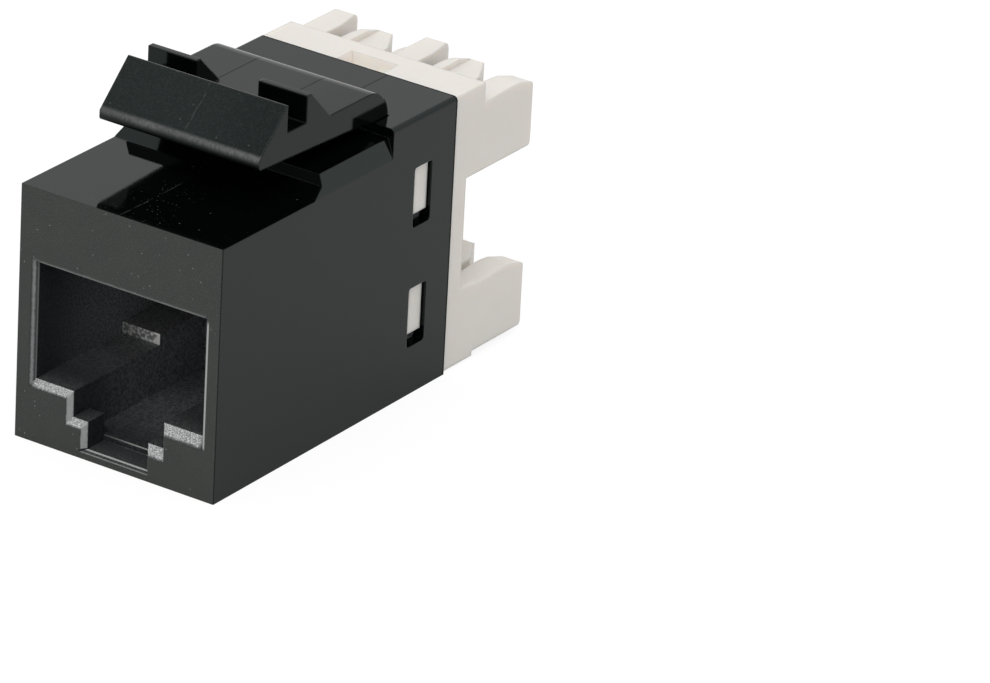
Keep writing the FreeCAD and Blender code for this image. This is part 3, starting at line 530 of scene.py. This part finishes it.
def housing_plastic():
    """Black glossy plastic, grained in front, etched in the opening with painted light and painted
    highlights there, and dusty on the platform.
    """
    material, wires = begin_black("housing_plastic")
    platform = wires.times(
        wires.over(wires.nz, 0.94, 0.04), wires.under(wires.z, housing_high.z - 1.35 * MM, 0.15 * MM))
    polished = wires.ramp(wires.cloud, 0.3, 0.7, 0.03, 0.055)
    wires.roughness = wires.blend_value(platform, wires.roughness, polished)
    front_grain(wires)
    opening_look(wires)
    platform_dust(wires)
    splits = wires.times(
        split_line(wires, RIGHT_SPLIT), wires.over(wires.z, housing_high.z - 0.075 * MM, 0.025 * MM))
    leaning = wires.times(wires.over(wires.nx, 0.5, 0.1), wires.over(wires.nz, 0.2, 0.05))
    rim = wires.ramp(wires.y, housing_high.y - 0.17 * MM, housing_high.y - 0.12 * MM, 0.0, 0.8)
    shine = wires.times(
        wires.math("MULTIPLY_ADD", leaning, 0.12, BLACK_SHINE), wires.math("SUBTRACT", 1.0, rim))
    end_black(wires, splits, shine, 0.07 * MM)
    return material


def latch_plastic():
    """Black glossy plastic with a painted highlight on the nose and a mottled ramp."""
    material, wires = begin_black("latch_plastic")
    latch_marks(wires)
    splits = wires.times(
        wires.most(split_line(wires, RIGHT_SPLIT), split_line(wires, LEFT_SPLIT)),
        wires.over(wires.y, 12.65 * MM, 0.15 * MM))
    shine = wires.ramp(wires.x, 0.5 * MM, 5.0 * MM, BLACK_SHINE, 0.215)
    end_black(wires, splits, shine, 0.16 * MM)
    return material


def ivory_plastic():
    """Ivory moulded plastic, satin, a little cloudy, with painted light brightening the hollow on its top.
    """
    material, wires = new_material("ivory_plastic")
    flow = wires.noise(0.5 * MM, 2.0)
    wires.base = wires.blend(wires.noise(4.0 * MM, 3.0), IVORY, IVORY_CLOUD)
    # Painted light brightening the hollow on the block's top.
    hollow_glow = wires.times(
        wires.under(wires.size_of(wires.x), GATE_SIDE, 0.05 * MM),
        wires.over(wires.z, block_high.z - 1.2 * MM, 0.1 * MM),
        wires.under(wires.z, block_high.z - 0.04 * MM, 0.02 * MM),
        wires.under(wires.y, block_high.y - 6.1 * MM, 0.1 * MM))
    wires.tint(hollow_glow, IVORY_HOLLOW_GLOW)
    wires.roughness = wires.ramp(flow, 0.3, 0.7, 0.34, 0.46)
    relief = wires.plus(wires.times(wires.noise(0.06 * MM, 2.0), 0.5), wires.times(flow, 0.3))
    shader = wires.principled(wires.bump(relief, 0.008 * MM, wires.worn_edge(0.20 * MM)))
    wires.put(shader.inputs["Subsurface Weight"], 0.45)
    wires.put(shader.inputs["Subsurface Radius"], (1.0, 0.75, 0.55))
    wires.put(shader.inputs["Subsurface Scale"], 0.9 * MM)
    wires.surface(shader)
    return material


def dull_black_plastic():
    """Black plastic of the insert, dull and faintly streaked along its length."""
    material, wires = new_material("dull_black_plastic")
    streaks = wires.noise(0.3 * MM, 3.0, wires.stretched((1.0, 0.15, 1.0)))
    wires.base = wires.blend(streaks, INSERT_BLACK, INSERT_STREAK)
    wires.roughness = wires.ramp(streaks, 0.3, 0.7, 0.38, 0.55)
    wires.surface(wires.principled(wires.bump(streaks, 0.01 * MM)))
    return material


def plated_metal(name, colour, clouded, rough):
    """Plated metal with drawing marks along the jack."""
    material, wires = new_material(name)
    marks = wires.noise(0.06 * MM, 3.0, wires.stretched((1.0, 0.1, 1.0)))
    wires.base = wires.blend(wires.noise(0.8 * MM, 2.0), colour, clouded)
    wires.roughness = wires.ramp(marks, 0.3, 0.7, rough, rough + 0.15)
    shader = wires.principled(wires.bump(marks, 0.004 * MM))
    wires.put(shader.inputs["Metallic"], 1.0)
    wires.surface(shader)
    return material


def board_laminate():
    """Green solder mask over woven glass; the cut edges show the paler laminate."""
    material, wires = new_material("board_laminate")
    wires.facing()
    weave = wires.add("TexWave", Vector=wires.point, Scale=1.0 / (0.5 * MM), Distortion=0.4).outputs[1]
    mask = wires.blend(wires.noise(1.2 * MM), SOLDER_MASK, SOLDER_MASK_CLOUD)
    edge = wires.blend(weave, LAMINATE, LAMINATE_WEAVE)
    wires.base = wires.blend(wires.over(wires.size_of(wires.ny), 0.75, 0.15), edge, mask)
    wires.roughness = wires.ramp(weave, 0.0, 1.0, 0.3, 0.4)
    wires.surface(wires.principled(wires.bump(weave, 0.01 * MM)))
    return material


def paint(name, material):
    """Gives a CAD node its material."""
    nodes[name].data.materials.clear()
    nodes[name].data.materials.append(material)


def paint_nodes():
    paint("housing", housing_plastic())
    paint("latch_arm", latch_plastic())
    paint("contact_insert", dull_black_plastic())
    paint("circuit_board", board_laminate())
    paint("idc_block", ivory_plastic())
    gilt = plated_metal("gilt", GILT, GILT_CLOUD, 0.18)
    tinned = plated_metal("tinned", TIN, TIN_CLOUD, 0.28)
    for name in nodes:
        if name.startswith("contact_wire"):
            paint(name, gilt)
        if name.startswith("idc_blade"):
            paint(name, tinned)


def glowing(wires, colour, strength):
    """A diffuse surface that also gives off white light."""
    both = wires.add("AddShader")
    glow = wires.add("Emission", Color=WHITE, Strength=strength)
    wires.put(both.inputs[0], wires.add("BsdfDiffuse", Color=colour).outputs[0])
    wires.put(both.inputs[1], glow.outputs[0])
    return both.outputs[0]


def make_floor():
    """A plain pale floor under the jack, white to the camera apart from the jack's soft shadow."""
    corners = [(x * FLOOR_HALF, y * FLOOR_HALF, 0) for x, y in ((-1, -1), (1, -1), (1, 1), (-1, 1))]
    mesh = bpy.data.meshes.new("floor")
    mesh.from_pydata(corners, [], [(0, 1, 2, 3)])
    floor = bpy.data.objects.new("floor", mesh)
    bpy.context.scene.collection.objects.link(floor)
    floor.location.z = cad_low.z - FLOOR_GAP
    material, wires = new_material("floor_card")
    card = wires.blend(wires.noise(30.0 * MM), CARD, CARD_CLOUD)
    seen = wires.add("LightPath")
    mirrored_glow = wires.times(seen.outputs["Is Glossy Ray"], FLOOR_GLOSSY_GLOW)
    both = wires.add("MixShader", Fac=seen.outputs["Is Camera Ray"])
    wires.put(both.inputs[1], glowing(wires, card, mirrored_glow))
    wires.put(both.inputs[2], glowing(wires, CARD_SHOWN, FLOOR_SHOWN_GLOW))
    wires.surface(both)
    mesh.materials.append(material)


def make_world():
    """Soft white surroundings, a little darker towards the right and the back."""
    world = bpy.data.worlds.new("surroundings")
    bpy.context.scene.world = world
    wires = Wires(world)
    across, inward, upwards = wires.add(
        "SeparateXYZ", Vector=wires.add("TexCoord").outputs["Generated"]).outputs
    level = wires.times(
        wires.ramp(across, -0.6, 0.9, 1.0, 0.84),
        wires.ramp(upwards, -0.1, 0.9, 0.92, 1.02),
        wires.ramp(inward, 0.2, 0.9, 1.0, 0.82))
    seen = wires.add("LightPath").outputs["Is Camera Ray"]
    background = wires.add("Background", Color=WHITE, Strength=wires.most(level, seen))
    output = wires.tree.nodes.new("ShaderNodeOutputWorld")
    wires.tree.links.new(background.outputs[0], output.inputs["Surface"])


def make_lamp():
    """A square soft lamp that looks at the jack's middle."""
    data = bpy.data.lights.new("key_lamp", "AREA")
    data.energy = LAMP_WATTS
    data.size = LAMP_SIZE
    lamp = bpy.data.objects.new("key_lamp", data)
    bpy.context.scene.collection.objects.link(lamp)
    middle = (cad_low + cad_high) / 2
    lamp.location = LAMP_PLACE
    lamp.rotation_mode = "QUATERNION"
    lamp.rotation_quaternion = (middle - lamp.location).to_track_quat("-Z", "Y")


bpy.context.scene.view_settings.view_transform = "Standard"
make_camera()
make_world()
make_floor()
make_lamp()
paint_nodes()
